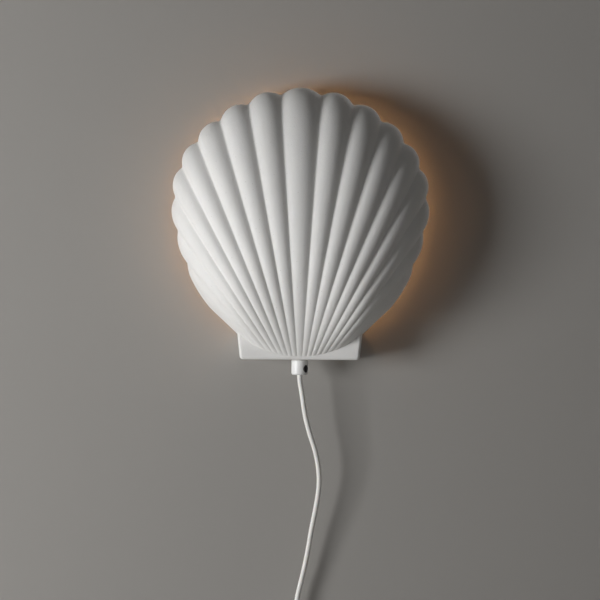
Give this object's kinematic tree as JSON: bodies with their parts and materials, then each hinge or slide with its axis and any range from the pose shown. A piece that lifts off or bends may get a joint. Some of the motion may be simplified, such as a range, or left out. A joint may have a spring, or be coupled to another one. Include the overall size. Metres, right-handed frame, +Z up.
{
  "type": "shell wall sconce",
  "caption": "Plug-in wall light with a white ribbed scallop-shell ceramic shade on a plinth, hung on a steel wall plate, with flex, in-line switch and plug.",
  "frame": {"origin": "middle of the wall plate's two screw holes, on the wall plane", "axes": "-Y out of the wall towards the room, +Z up, +X to the right as seen from the room"},
  "size_m": [0.2574, 0.107, 0.758],
  "materials": {
    "bisque_ceramic": "matt unglazed, fine grain",
    "white_plastic": "satin moulded",
    "rocker_plastic": "polished moulded",
    "holder_plastic": "heat-proof moulded",
    "insert_ceramic": "pressed steatite",
    "cord_pvc": "soft sheath",
    "live_pvc": "wire insulation",
    "neutral_pvc": "wire insulation",
    "zinc_steel": "zinc plated",
    "dark_steel": "blackened",
    "contact_brass": "pressed",
    "pin_nickel": "nickel plated",
    "bulb_cap_metal": "rolled thread",
    "bulb_glass": "opal",
    "bulb_black": "vitrite",
    "bulb_solder": "tin solder",
    "sleeve_plastic": "moulded",
    "soft_pad": "matt",
    "tie_plastic": "soft strap"
  },
  "bodies": {
    "root": {"wall_plate": "zinc_steel"},
    "lamp": {"ceramic_shell": "bisque_ceramic", "wall_pads": "soft_pad", "carrier_strap": "zinc_steel", "nipple": "zinc_steel", "hex_nut": "zinc_steel", "lock_washer": "zinc_steel", "grip_washer": "soft_pad", "cord_grip": "white_plastic", "grip_screw": "dark_steel", "holder_cap": "holder_plastic", "holder_sleeve": "holder_plastic", "holder_insert": "insert_ceramic", "screw_shell": "contact_brass", "terminal_screws": "contact_brass", "centre_contact": "contact_brass", "live_wire": "live_pvc", "neutral_wire": "neutral_pvc", "lead_in": "cord_pvc", "cord_upper": "cord_pvc", "switch_base": "white_plastic", "switch_cover": "white_plastic", "rocker_pin": "zinc_steel", "switch_screws": "zinc_steel", "switch_contacts": "contact_brass", "cord_lower": "cord_pvc", "cord_coil": "cord_pvc", "cord_tail": "cord_pvc", "coil_tie": "tie_plastic", "plug_body": "white_plastic", "plug_pins": "pin_nickel", "pin_sleeves": "sleeve_plastic"},
    "bulb": {"bulb_globe": "bulb_glass", "bulb_cap": "bulb_cap_metal", "bulb_insulator": "bulb_black", "bulb_contact": "bulb_solder"},
    "rocker": {"switch_rocker": "rocker_plastic"}
  },
  "joints": [
    {"name": "lamp_lift", "type": "slide", "parent": "root", "child": "lamp", "axis": [0, 0, 1], "range_m": [0, 0.014]},
    {"name": "bulb_unscrew", "type": "slide", "parent": "lamp", "child": "bulb", "axis": [0, 0, 1], "range_m": [0, 0.032]},
    {"name": "rocker_tilt", "type": "hinge", "parent": "lamp", "child": "rocker", "pos_m": [-0.0026, -0.0172, -0.472], "axis": [1, 0, 0], "range_deg": [0, 22]}
  ]
}
